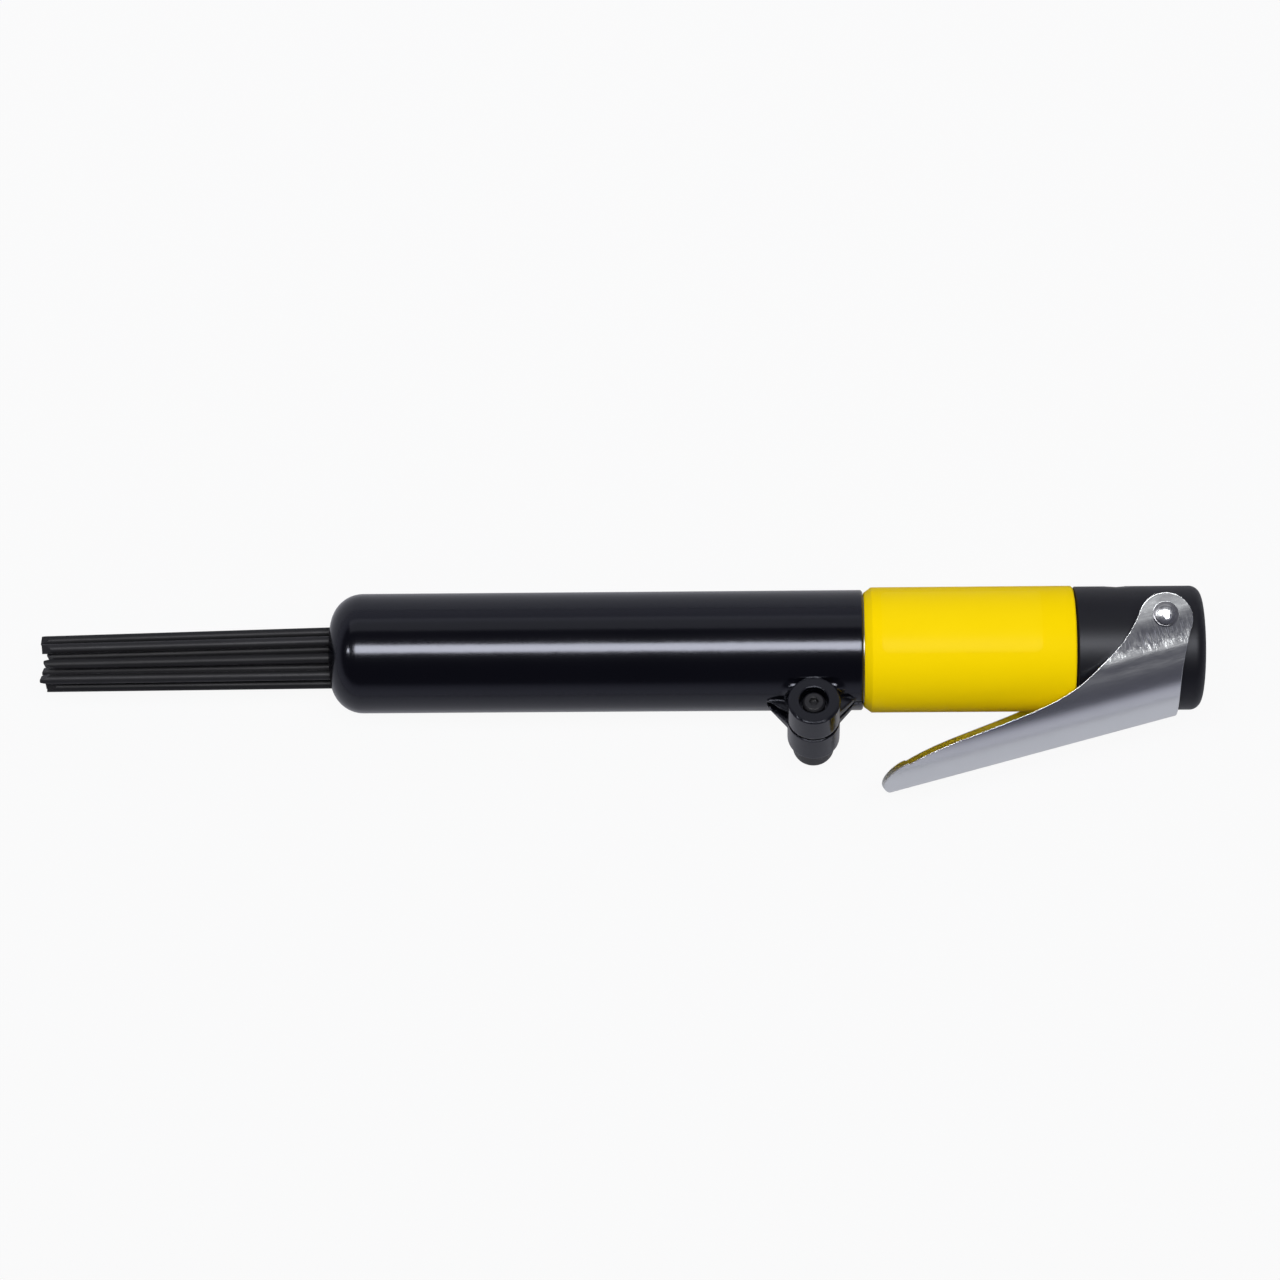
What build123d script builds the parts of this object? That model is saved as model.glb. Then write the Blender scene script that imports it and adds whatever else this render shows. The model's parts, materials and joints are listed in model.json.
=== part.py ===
from build123d import *
import math
import os

# A straight, air-driven needle scaler. Sizes are in millimetres. X runs along the tool from the rear face,
# negative towards the needles. The lever hangs on the -Y side and its hinge lies along Z.

# Clearances
running_gap = 0.05
sliding_gap = 0.1
seat_gap = 0.02
free_gap = 0.3

# Rear cap
cap_radius = 18.5
cap_length = 37.6
cap_rear_round = 3.2
cap_front_chamfer = 0.5
spigot_radius = 13.5
spigot_length = 6.0
inlet_radius = 5.72
inlet_depth = 14.0
strainer_radius = 5.0
strainer_depth = 2.4
strainer_dish = 1.0
inlet_passage_radius = 3.4
cap_seal_thickness = 1.0
cap_seal_width = 3.0

# Lever pin, placed from the rear face and above the tool's axis
pin_back = 12.35
pin_height = 9.8
pin_radius = 2.3
pin_boss_radius = 5.5
pin_head_radius = 3.75
pin_head_height = 1.4
pin_collar_height = 0.35

# Throttle valve, across the cap from the lever's side to the far side
throttle_back = 25.0
throttle_seat_height = -4.5
chamber_radius = 5.0
chamber_height = 13.0
stem_radius = 1.6
stem_tip_chamfer = 0.6
stem_gap = 0.6
stem_passage_radius = 2.9
poppet_radius = 4.3
poppet_thickness = 2.0
poppet_spigot_radius = 1.9
poppet_spigot_height = 1.6
poppet_seal_thickness = 1.2
bush_radius = 4.2
bush_length = 7.8
bush_recess = 0.4
stem_seal_section = 1.4
stem_seal_depth = 2.6
plug_radius = 5.6
plug_socket_across_flats = 6.0
plug_socket_depth = 4.0
outlet_radius = 2.2
outlet_height = -7.2
throttle_spring_radius = 3.0
throttle_spring_wire = 0.7
throttle_spring_sides = 4
throttle_spring_turns = 3

# Grip sleeve
sleeve_radius = 18.75
sleeve_wall = 1.65
sleeve_length = 62.1
sleeve_chamfer_length = 2.3
sleeve_chamfer_height = 1.7
sleeve_rear_chamfer = 0.4
sleeve_lip_length = 3.2
sleeve_to_cap = 0.3

# Cylinder and what works in it
cylinder_nose_length = 48.0
chest_depth = 17.4
piston_radius = 10.0
piston_length = 40.0
piston_groove_depth = 0.6
piston_groove_width = 2.0
piston_groove_count = 2
piston_bore_length = 70.0
exhaust_port_radius = 1.5
exhaust_port_ahead = 6.0
exhaust_groove_width = 3.0
exhaust_groove_depth = 0.8
anvil_bush_radius = 12.5
anvil_stem_radius = 7.5
anvil_stem_proud = 2.0
anvil_head_length = 13.2
anvil_chamfer = 1.0
buffer_length = 4.0
buffer_wall = 2.3
buffer_to_tube = 0.5

# Flutter valve between the cap and the piston bore
valve_cover_thickness = 4.0
valve_recess_radius = 10.0
valve_recess_depth = 2.1
valve_plate_thickness = 1.2
valve_plate_hole = 2.0
valve_port_radius = 1.4
valve_port_circle = 6.5
valve_port_count = 4

# Front tube with its split clamp
tube_radius = 18.0
tube_wall = 1.9
tube_length = 159.5
tube_to_sleeve = 0.3
nose_round = 9.5
nose_wall = 3.0
nose_opening_radius = 11.0
nose_inner_chamfer = 4.0
tube_rear_chamfer = 0.5
clamp_angle = 30.0
clamp_from_end = 14.8
clamp_reach = 22.9
lug_radius = 7.8
near_lug_length = 10.5
far_lug_length = 11.8
lug_chamfer = 0.4
lug_foot_half_width = 7.6
lug_foot_near_set_in = 2.4
lug_foot_far_set_in = 0.8
lug_foot_corner = 1.5
lug_foot_blend = 2.4
rib_front = 13.9
rib_rear = 12.2
rib_end_width = 2.0
rib_rear_width = 3.6
near_rib_reach = 21.9
near_rib_width = 1.9
far_rib_reach = 24.6
far_rib_width = 3.6
slit_width = 1.5
slit_hole_radius = 1.6
slit_length = 27.6
clamp_screw_radius = 2.0
clamp_screw_clearance = 0.2
screw_head_radius = 3.3
screw_head_height = 3.4
screw_head_sunk = 0.7
screw_head_chamfer = 0.6
screw_socket_across_flats = 2.5
screw_socket_depth = 1.8
counterbore_radius = 4.4
clamp_nut_radius = 6.15
clamp_nut_length = 7.8
clamp_nut_chamfer = 1.0
clamp_nut_overlap = 5.5

# Needle holder, needles and their spring
holder_clearance = 0.15
holder_wall = 2.45
holder_length = 30.7
holder_floor = 12.0
holder_edge = 0.8
outer_needle_count = 9
inner_needle_count = 3
outer_circle = 8.6
inner_circle = 3.7
outer_circle_at_tip = 7.05
inner_circle_at_tip = 2.6
needle_circle_start = 0.25
needle_droop = 2.5
needle_radius = 1.5
needle_length = 180.0
needle_head_radius = 2.3
needle_head_length = 3.0
needle_hole_clearance = 0.3
needle_tip_length = 3.0
needle_tip_width = 0.9
needle_stagger = 2.4
needle_stagger_stride = 5
needle_tip_turn = 0.9
needle_spring_wire = 2.8
needle_spring_to_tube = 0.7
needle_spring_sides = 4
needle_spring_turns = 5

# Throttle lever, drawn as it lies when it is squeezed flat along the tool. The ear's angles are in degrees
# from +X. The neck and the heel are pairs: forward of the pin, and above the bottom. The tip's crest
# is such a pair too, but measured back from the lever's end.
lever_sheet = 1.2
lever_gap = 0.8
lever_rest_angle = 14.83
lever_travel = 14.0
ear_radius = 7.9
ear_back = -0.34
ear_drop = -1.46
ear_rear_angle = -40.0
ear_front_angle = 144.0
neck = ((15.0, 25.0), (20.5, 21.5), (31.0, 16.0), (43.0, 13.0), (60.5, 10.9))
heel = ((2.2, 3.4), (-0.7, 13.3), (-4.3, 21.1))
heel_start = 2.9
lever_length = 92.2
tip_length = 8.9
tip_wall = 7.3
tip_crest = (0.9, 4.1)
tip_rise = 2.7
tip_corner = 1.5

# Places worked out from the sizes
cap_front = -cap_length
cylinder_rear = cap_front - cap_seal_thickness
sleeve_rear = cap_front - sleeve_to_cap
sleeve_front = sleeve_rear - sleeve_length
shoulder = sleeve_front + sleeve_lip_length
tube_rear = sleeve_front - tube_to_sleeve
tube_front = tube_rear - tube_length
cylinder_front = sleeve_front - cylinder_nose_length
chest_front = cylinder_rear - chest_depth
piston_bore_front = chest_front - piston_bore_length
tube_bore_radius = tube_radius - tube_wall
sleeve_bore_radius = sleeve_radius - sleeve_wall
cylinder_grip_radius = sleeve_bore_radius - sliding_gap
cylinder_front_radius = tube_bore_radius - sliding_gap
needle_spring_radius = tube_bore_radius - needle_spring_to_tube - needle_spring_wire / 2
anvil_head_radius = tube_bore_radius - buffer_to_tube - buffer_wall - free_gap
holder_cup_radius = tube_bore_radius - holder_clearance - holder_wall
pin_x = -pin_back
throttle_x = -throttle_back
clamp_x = tube_rear - clamp_from_end
lever_inner_radius = cap_radius + lever_gap
lever_outer_radius = lever_inner_radius + lever_sheet
pin_boss_reach = lever_inner_radius - free_gap
anvil_head_rear = cylinder_front - free_gap
anvil_face = anvil_head_rear - anvil_head_length
buffer_front = cylinder_front - buffer_length
holder_rear = buffer_front - free_gap
holder_front = holder_rear - holder_length
holder_seat = holder_front + holder_floor
screw_head_floor = -near_lug_length + screw_head_sunk + screw_head_height
screw_end = far_lug_length + clamp_nut_overlap
clamp_frame = Plane(
    origin=(clamp_x, 0, 0),
    x_dir=(1, 0, 0),
    z_dir=(0, -math.sin(math.radians(clamp_angle)), -math.cos(math.radians(clamp_angle))),
)
clamp_axis = Axis(clamp_frame.origin, clamp_frame.z_dir)
beyond = 5.0


def turned(corners, rounds=()):
    """A solid turned about the tool's axis from (x, radius) corners; rounds lists (x, radius, size)."""
    face = make_face(Polyline(*corners, close=True))
    for x, radius, size in rounds:
        face = fillet(face.vertices().sort_by_distance((x, radius, 0))[0], size)
    return revolve(face, Axis.X)


def ring(x_front, x_rear, inner, outer):
    """A plain ring about the tool's axis."""
    return turned([(x_front, inner), (x_rear, inner), (x_rear, outer), (x_front, outer)])


def disc(x_front, x_rear, radius):
    """A plain round disc about the tool's axis."""
    return turned([(x_front, 0), (x_rear, 0), (x_rear, radius), (x_front, radius)])


def rod(start, direction, length, radius):
    """A round rod from a point along a direction."""
    plane = Plane(origin=start, z_dir=direction)
    return plane * Cylinder(radius, length, align=(Align.CENTER, Align.CENTER, Align.MIN))


def cross_rod(low, high, radius):
    """A round rod across the cap along the throttle's axis, between two heights."""
    return rod((throttle_x, low, 0), (0, 1, 0), high - low, radius)


def hexagon(across_flats):
    """The section of a hexagon socket."""
    return RegularPolygon(across_flats / 2, 6, major_radius=False)


def valve_ports(front, rear):
    """The flutter valve's round ports, long enough to cut through a plate between two places."""
    cuts = []
    for i in range(valve_port_count):
        angle = 2 * math.pi * i / valve_port_count
        start = (front - beyond, valve_port_circle * math.cos(angle), valve_port_circle * math.sin(angle))
        cuts.append(rod(start, (1, 0, 0), rear - front + 2 * beyond, valve_port_radius))
    return cuts


def clamp_rod(near, far, radius):
    """A round rod along the clamp screw's axis, measured from the slit: negative is the near side."""
    return clamp_frame * Pos(0, clamp_reach, near) * Cylinder(
        radius, far - near, align=(Align.CENTER, Align.CENTER, Align.MIN)
    )


def coil(start, direction, length, radius, wire, sides, turns):
    """A spring of low-sided wire, wound along a helix."""
    path = Helix(pitch=(length - wire) / turns, height=length - wire, radius=radius)
    section = Plane(origin=path @ 0, z_dir=path % 0) * RegularPolygon(wire / 2, sides)
    spring = sweep(section, path=path, is_frenet=True)
    return Plane(origin=start, z_dir=direction) * Pos(0, 0, wire / 2) * spring


def make_rear_cap():
    """The back head: body, spigot, pivot bosses, inlet, throttle bore and outlet."""
    body = turned(
        [
            (cap_front, 0),
            (0, 0),
            (0, cap_radius),
            (cap_front + cap_front_chamfer, cap_radius),
            (cap_front, cap_radius - cap_front_chamfer),
        ],
        [(0, cap_radius, cap_rear_round)],
    )
    body += disc(cap_front - spigot_length, cap_front, spigot_radius)
    body += rod((pin_x, pin_height, -pin_boss_reach), (0, 0, 1), 2 * pin_boss_reach, pin_boss_radius)
    strainer_front = -inlet_depth - strainer_depth
    body -= turned([
        (throttle_x, 0),
        (beyond, 0),
        (beyond, inlet_radius),
        (-inlet_depth, inlet_radius),
        (-inlet_depth, strainer_radius),
        (strainer_front, strainer_radius),
        (strainer_front, inlet_passage_radius),
        (throttle_x, inlet_passage_radius),
    ])
    pin_bore_reach = cap_radius + beyond
    pin_bore_start = (pin_x, pin_height, -pin_bore_reach)
    body -= rod(pin_bore_start, (0, 0, 1), 2 * pin_bore_reach, pin_radius + running_gap)
    body -= cross_rod(throttle_seat_height, throttle_seat_height + chamber_height, chamber_radius)
    body -= cross_rod(throttle_seat_height + chamber_height, cap_radius + beyond, plug_radius)
    body -= cross_rod(-cap_radius - beyond, throttle_seat_height, stem_passage_radius)
    body -= cross_rod(-cap_radius - beyond, bush_bottom + bush_length, bush_radius)
    outlet_start = (cap_front - spigot_length - beyond, outlet_height, 0)
    body -= rod(outlet_start, (1, 0, 0), throttle_x - outlet_start[0], outlet_radius)
    return body


def make_strainer():
    """A dished disc of porous bronze, pressed into its seat below the inlet thread."""
    front = -inlet_depth - strainer_depth
    outer = strainer_radius - seat_gap
    return turned([
        (front, 0),
        (-inlet_depth - strainer_dish, 0),
        (-inlet_depth, outer - strainer_dish),
        (-inlet_depth, outer),
        (front, outer),
    ])


def make_throttle_valve():
    """The poppet: a stem, a disc and a spigot that centres the spring."""
    disc_low = throttle_seat_height + seat_gap + poppet_seal_thickness
    disc_high = disc_low + poppet_thickness
    face = make_face(Polyline(
        (0, stem_tip),
        (stem_radius - stem_tip_chamfer, stem_tip),
        (stem_radius, stem_tip + stem_tip_chamfer),
        (stem_radius, disc_low),
        (poppet_radius, disc_low),
        (poppet_radius, disc_high),
        (poppet_spigot_radius, disc_high),
        (poppet_spigot_radius, disc_high + poppet_spigot_height),
        (0, disc_high + poppet_spigot_height),
        close=True,
    ))
    return Pos(throttle_x, 0, 0) * revolve(face, Axis.Y)


def make_throttle_seal():
    """The poppet's rubber face."""
    low = throttle_seat_height + seat_gap
    seal = cross_rod(low, low + poppet_seal_thickness, poppet_radius)
    return seal - cross_rod(low, low + poppet_seal_thickness, stem_radius + seat_gap)


def make_throttle_bush():
    """The stem's guide, with a groove for its seal."""
    top = bush_bottom + bush_length
    bush = cross_rod(bush_bottom, top, bush_radius - seat_gap)
    bush -= cross_rod(bush_bottom, top, stem_radius + running_gap)
    groove_low = bush_bottom + stem_seal_depth
    groove_high = groove_low + stem_seal_section + 2 * sliding_gap
    bush -= cross_rod(groove_low, groove_high, stem_radius + running_gap + stem_seal_section + sliding_gap)
    return bush


def make_stem_seal():
    """The sealing ring in the bush."""
    low = bush_bottom + stem_seal_depth + sliding_gap
    seal = cross_rod(low, low + stem_seal_section, stem_radius + running_gap + stem_seal_section)
    return seal - cross_rod(low, low + stem_seal_section, stem_radius + running_gap)


def make_throttle_spring():
    """The spring between the poppet's disc and the plug."""
    low = throttle_seat_height + seat_gap + poppet_seal_thickness + poppet_thickness + seat_gap
    length = throttle_seat_height + chamber_height - low - seat_gap
    return coil(
        (throttle_x, low, 0), (0, 1, 0), length,
        throttle_spring_radius, throttle_spring_wire, throttle_spring_sides, throttle_spring_turns,
    )


def make_throttle_plug():
    """The plug that closes the throttle bore, with a hexagon socket."""
    low = throttle_seat_height + chamber_height
    plug = cross_rod(low, cap_radius, plug_radius - seat_gap) & disc(cap_front, 0, cap_radius)
    mouth = Plane(origin=(throttle_x, cap_radius, 0), z_dir=(0, -1, 0))
    return plug - extrude(mouth * hexagon(plug_socket_across_flats), plug_socket_depth)


def make_cap_seal():
    """The gasket between the cap and the cylinder."""
    inner = spigot_radius + sliding_gap
    return ring(cylinder_rear + seat_gap, cap_front - seat_gap, inner, inner + cap_seal_width)


def make_grip_sleeve():
    """The sleeve, held between the cylinder's shoulder and the cap."""
    lip_bore = cylinder_front_radius + sliding_gap
    return turned([
        (sleeve_front, lip_bore),
        (shoulder, lip_bore),
        (shoulder, sleeve_bore_radius),
        (sleeve_rear, sleeve_bore_radius),
        (sleeve_rear, sleeve_radius - sleeve_rear_chamfer),
        (sleeve_rear - sleeve_rear_chamfer, sleeve_radius),
        (sleeve_front + sleeve_chamfer_length, sleeve_radius),
        (sleeve_front, sleeve_radius - sleeve_chamfer_height),
    ])


def make_cylinder():
    """The cylinder: valve chest, piston bore, seat of the bush, and two exhaust grooves."""
    body = turned([
        (cylinder_front, anvil_bush_radius),
        (piston_bore_front, anvil_bush_radius),
        (piston_bore_front, piston_radius),
        (chest_front, piston_radius),
        (chest_front, spigot_radius + running_gap),
        (cylinder_rear, spigot_radius + running_gap),
        (cylinder_rear, cylinder_grip_radius),
        (shoulder + seat_gap, cylinder_grip_radius),
        (shoulder + seat_gap, cylinder_front_radius),
        (cylinder_front, cylinder_front_radius),
    ])
    port_x = tube_rear - exhaust_port_ahead
    body -= rod((port_x, 0, -cap_radius), (0, 0, 1), 2 * cap_radius, exhaust_port_radius)
    for side in (-1, 1):
        groove_length = port_x + exhaust_port_radius - cylinder_front + beyond
        groove_middle = port_x + exhaust_port_radius - groove_length / 2
        floor = side * (cylinder_front_radius - exhaust_groove_depth + beyond / 2)
        body -= Pos(groove_middle, 0, floor) * Box(groove_length, exhaust_groove_width, beyond)
    return body


def make_piston():
    """The free hammer, with its oil grooves."""
    front = piston_bore_front + anvil_stem_proud + free_gap
    radius = piston_radius - running_gap
    piston = disc(front, front + piston_length, radius)
    for i in range(piston_groove_count):
        middle = front + piston_length * (i + 1) / (piston_groove_count + 1)
        low = middle - piston_groove_width / 2
        piston -= ring(low, low + piston_groove_width, radius - piston_groove_depth, radius + beyond)
    return piston


def make_anvil():
    """The anvil: a stem that the piston strikes and a head that strikes the needles."""
    stem_rear = piston_bore_front + anvil_stem_proud
    return turned([
        (anvil_face, 0),
        (stem_rear, 0),
        (stem_rear, anvil_stem_radius - anvil_chamfer),
        (stem_rear - anvil_chamfer, anvil_stem_radius),
        (anvil_head_rear, anvil_stem_radius),
        (anvil_head_rear, anvil_head_radius),
        (anvil_face + anvil_chamfer, anvil_head_radius),
        (anvil_face, anvil_head_radius - anvil_chamfer),
    ])


def make_anvil_bush():
    """The bronze guide of the anvil's stem, pressed into the front of the cylinder."""
    inner = anvil_stem_radius + running_gap
    return ring(cylinder_front, piston_bore_front - seat_gap, inner, anvil_bush_radius - seat_gap)


def make_buffer_ring():
    """The rubber ring round the anvil's head, in front of the cylinder."""
    inner = anvil_head_radius + free_gap
    return ring(buffer_front, cylinder_front - seat_gap, inner, tube_bore_radius - buffer_to_tube)


def make_valve_cover():
    """The rear plate of the flutter valve, recessed for the loose plate."""
    rear = cap_front - spigot_length - seat_gap
    front = rear - valve_cover_thickness - valve_recess_depth
    cover = disc(front, rear, spigot_radius)
    cover -= disc(front - beyond, front + valve_recess_depth, valve_recess_radius)
    for port in valve_ports(front, rear):
        cover -= port
    return cover


def make_valve_plate():
    """The loose plate that flutters between the cover and the seat."""
    rear = cap_front - spigot_length - seat_gap - valve_cover_thickness - running_gap
    inner = valve_plate_hole
    return ring(rear - valve_plate_thickness, rear, inner, valve_recess_radius - sliding_gap)


def make_valve_seat():
    """The front plate of the flutter valve, down to the piston bore."""
    rear = cap_front - spigot_length - 2 * seat_gap - valve_cover_thickness - valve_recess_depth
    front = chest_front + seat_gap
    seat = disc(front, rear, spigot_radius)
    for port in valve_ports(front, rear):
        seat -= port
    return seat


def make_lug_foot():
    """The block with rounded corners that carries the lugs on the tube."""
    near = lug_foot_near_set_in - near_lug_length
    far = far_lug_length - lug_foot_far_set_in
    reach = max(-near, far)
    low = math.sqrt(tube_radius ** 2 - reach ** 2) - tube_wall
    block = Box(
        2 * lug_foot_half_width, clamp_reach - low, far - near, align=(Align.CENTER, Align.MIN, Align.MIN)
    )
    block = fillet(block.edges().filter_by(Axis.Y), lug_foot_corner)
    return clamp_frame * Pos(0, low, near) * block


def make_clamp_rib(side, front_reach, front_width):
    """The ribs ahead of and behind the lugs on one side of the slit, -1 or 1."""
    foot = tube_radius - tube_wall / 2
    rear = clamp_from_end - free_gap
    outline = Polyline(
        (-rib_front, foot),
        (-rib_front, tube_radius),
        (-lug_foot_half_width, front_reach),
        (lug_radius, clamp_reach),
        (rib_rear, tube_radius),
        (rear, tube_radius - tube_rear_chamfer),
        (rear, foot),
        close=True,
    )
    plan = Polyline(
        (-rib_front, 0),
        (-rib_front, side * rib_end_width),
        (-lug_foot_half_width, side * front_width),
        (lug_foot_half_width, side * rib_rear_width),
        (rear, side * rib_end_width),
        (rear, 0),
        close=True,
    )
    outline_solid = extrude(make_face(outline), rib_rear_width + beyond, both=True)
    plan_solid = extrude(Plane.XZ * make_face(plan), clamp_reach + lug_radius, both=True)
    return clamp_frame * (outline_solid & plan_solid)


def make_front_tube():
    """The front tube: rounded nose, clamp lugs blended into it, their ribs, the slit and the screw's bore."""
    tube = turned(
        [
            (tube_front, 0),
            (tube_rear, 0),
            (tube_rear, tube_radius - tube_rear_chamfer),
            (tube_rear - tube_rear_chamfer, tube_radius),
            (tube_front, tube_radius),
        ],
        [(tube_front, tube_radius, nose_round)],
    )
    foot = make_lug_foot()
    body = tube + foot
    body = fillet(new_edges(tube, foot, combined=body), lug_foot_blend)
    lugs = clamp_rod(-near_lug_length, far_lug_length, lug_radius)
    lugs = chamfer(lugs.edges().filter_by(GeomType.CIRCLE), lug_chamfer)
    near_rib = make_clamp_rib(-1, near_rib_reach, near_rib_width)
    far_rib = make_clamp_rib(1, far_rib_reach, far_rib_width)
    body = body + near_rib + far_rib + lugs
    inner_front = tube_front + nose_wall
    body -= turned([
        (inner_front, 0),
        (beyond, 0),
        (beyond, tube_bore_radius),
        (inner_front + nose_inner_chamfer, tube_bore_radius),
        (inner_front, tube_bore_radius - nose_inner_chamfer),
    ])
    body -= disc(tube_front - beyond, inner_front + beyond, nose_opening_radius)
    slit_end = clamp_from_end - slit_length + slit_width / 2
    slit_reach = clamp_reach + lug_radius + beyond
    slit_box = Box(slit_length + beyond, slit_reach, slit_width, align=(Align.MIN, Align.MIN, Align.CENTER))
    body -= clamp_frame * Pos(slit_end, 0, 0) * slit_box
    slit_root = clamp_frame.from_local_coords((slit_end, 0, 0))
    body -= rod(slit_root, clamp_frame.y_dir, slit_reach, slit_hole_radius)
    body -= clamp_rod(
        -near_lug_length - beyond, far_lug_length + beyond, clamp_screw_radius + clamp_screw_clearance
    )
    body -= clamp_rod(-near_lug_length - beyond, screw_head_floor, counterbore_radius)
    return body


def make_clamp_screw():
    """The cap screw that pinches the split."""
    head_face = screw_head_floor - screw_head_height
    head = clamp_rod(head_face, screw_head_floor - seat_gap, screw_head_radius)
    near_edge = head.edges().filter_by(GeomType.CIRCLE).sort_by(clamp_axis)[0]
    head = chamfer(near_edge, screw_head_chamfer)
    mouth = clamp_frame * Pos(0, clamp_reach, head_face)
    head -= extrude(mouth * hexagon(screw_socket_across_flats), screw_socket_depth)
    shank_start = head_face + screw_socket_depth
    return head + clamp_rod(shank_start, screw_end, clamp_screw_radius)


def make_clamp_nut():
    """The round nut on the far lug."""
    near = far_lug_length + seat_gap
    nut = clamp_rod(near, near + clamp_nut_length, clamp_nut_radius)
    far_edge = nut.edges().filter_by(GeomType.CIRCLE).sort_by(clamp_axis)[-1]
    nut = chamfer(far_edge, clamp_nut_chamfer)
    return nut - clamp_rod(near, screw_end + running_gap, clamp_screw_radius + running_gap)


def needle_places():
    """Each needle's place on its circle: radius at the holder, radius at the tip, angle."""
    circles = (
        (outer_needle_count, outer_circle, outer_circle_at_tip),
        (inner_needle_count, inner_circle, inner_circle_at_tip),
    )
    places = []
    for count, at_holder, at_tip in circles:
        for i in range(count):
            places.append((at_holder, at_tip, 2 * math.pi * (i + needle_circle_start) / count))
    return places


def needle_lines():
    """Each needle's hole in the holder, its direction forward and how far back it lies at rest."""
    hole_x = holder_front + holder_floor / 2
    tip_x = holder_seat - needle_length + needle_head_length
    count = outer_needle_count + inner_needle_count
    lines = []
    for i, (at_holder, at_tip, angle) in enumerate(needle_places()):
        hole = Vector(hole_x, at_holder * math.cos(angle), at_holder * math.sin(angle))
        tip = Vector(tip_x, at_tip * math.cos(angle) - needle_droop, at_tip * math.sin(angle))
        step = (needle_stagger_stride * i) % count
        back = sliding_gap + needle_stagger * step / (count - 1)
        lines.append((hole, (tip - hole).normalized(), back))
    return lines


def make_needle(line, turn):
    """One needle, along its own line, with a wedge tip turned about it."""
    hole, forward, back = line
    head_front = hole - forward * (holder_floor / 2 + back)
    plane = Plane(origin=head_front, x_dir=(0, math.cos(turn), math.sin(turn)), z_dir=forward)
    shank_length = needle_length - needle_head_length
    head = Cylinder(needle_head_radius, needle_head_length, align=(Align.CENTER, Align.CENTER, Align.MAX))
    shank = Cylinder(needle_radius, shank_length, align=(Align.CENTER, Align.CENTER, Align.MIN))
    tip_start = shank_length - needle_tip_length
    flank = Polyline(
        (needle_tip_width / 2, shank_length),
        (needle_radius, tip_start),
        (needle_radius + needle_tip_length, tip_start),
        (needle_radius + needle_tip_length, shank_length),
        close=True,
    )
    cutter = extrude(Plane.XZ * make_face(flank), 2 * needle_radius, both=True)
    shank -= cutter
    shank -= cutter.mirror(Plane.YZ)
    return plane * (head + shank)


def make_needle_holder():
    """The cup that carries the needles, with a hole along each needle's line."""
    outer = tube_bore_radius - holder_clearance
    holder = turned([
        (holder_front, 0),
        (holder_seat, 0),
        (holder_seat, holder_cup_radius),
        (holder_rear, holder_cup_radius),
        (holder_rear, outer),
        (holder_front + holder_edge, outer),
        (holder_front, outer - holder_edge),
    ])
    for hole, forward, _ in needle_lines():
        start = hole - forward * holder_floor
        holder -= rod(start, forward, 2 * holder_floor, needle_radius + needle_hole_clearance)
    return holder


def make_needle_spring():
    """The spring between the cone inside the nose and the needle holder."""
    coil_edge = needle_spring_radius + needle_spring_wire / 2
    cone_start = tube_bore_radius - nose_inner_chamfer
    front = tube_front + nose_wall + max(coil_edge - cone_start, 0) + sliding_gap
    return coil(
        (front, 0, 0), (1, 0, 0), holder_front - sliding_gap - front,
        needle_spring_radius, needle_spring_wire, needle_spring_sides, needle_spring_turns,
    )


def ear_point(angle):
    """A point on the ear's round edge, measured from the pin."""
    turn = math.radians(angle)
    return (ear_back + ear_radius * math.cos(turn), ear_drop + ear_radius * math.sin(turn))


def lever_outline():
    """The lever's side, squeezed flat, measured from its pin."""
    bottom = -pin_height - lever_outer_radius
    neck_points = [(-ahead, bottom + rise) for ahead, rise in neck]
    heel_points = [(-ahead, bottom + rise) for ahead, rise in heel]
    tip_top = (tip_length - lever_length, bottom + tip_wall)
    crest = (tip_crest[0] - lever_length, bottom + tip_crest[1])
    tip_end = (-lever_length, bottom + tip_rise)
    bottom_front = (tip_corner - lever_length, bottom)
    bottom_rear = (-heel_start, bottom)
    ear_rear = ear_point(ear_rear_angle)
    ear_front = ear_point(ear_front_angle)
    ear = ThreePointArc(ear_rear, ear_point((ear_rear_angle + ear_front_angle) / 2), ear_front)
    wall = Spline(ear_front, *neck_points, tip_top)
    tip = Spline(tip_top, crest, tip_end, bottom_front)
    base = Line(bottom_front, bottom_rear)
    rear = Spline(bottom_rear, *heel_points, ear_rear)
    return make_face(ear + wall + tip + base + rear)


def make_lever():
    """The pressed lever: a trough of sheet trimmed to its side outline, opened to its rest angle."""
    side = extrude(lever_outline(), lever_outer_radius + beyond, both=True)
    low = -pin_height
    span = lever_length + 2 * beyond
    front_end = Plane(origin=(ear_radius + beyond, low, 0), x_dir=(0, 0, 1), z_dir=(-1, 0, 0))
    outer = trough(front_end, lever_outer_radius, span + ear_radius)
    inner = trough(front_end, lever_inner_radius, span + ear_radius)
    lever = (outer - inner) & side
    ear_reach = lever_outer_radius + beyond
    lever -= rod((0, 0, -ear_reach), (0, 0, 1), 2 * ear_reach, pin_radius + seat_gap)
    return Pos(pin_x, pin_height, 0) * Rot(0, 0, lever_rest_angle) * lever


def trough(plane, radius, length):
    """A solid of the trough's section: half round below, straight sides above."""
    height = pin_height + ear_radius + beyond
    round_part = Circle(radius)
    walls = Pos(0, height / 2) * Rectangle(2 * radius, height)
    return extrude(plane * (round_part + walls), length)


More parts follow.
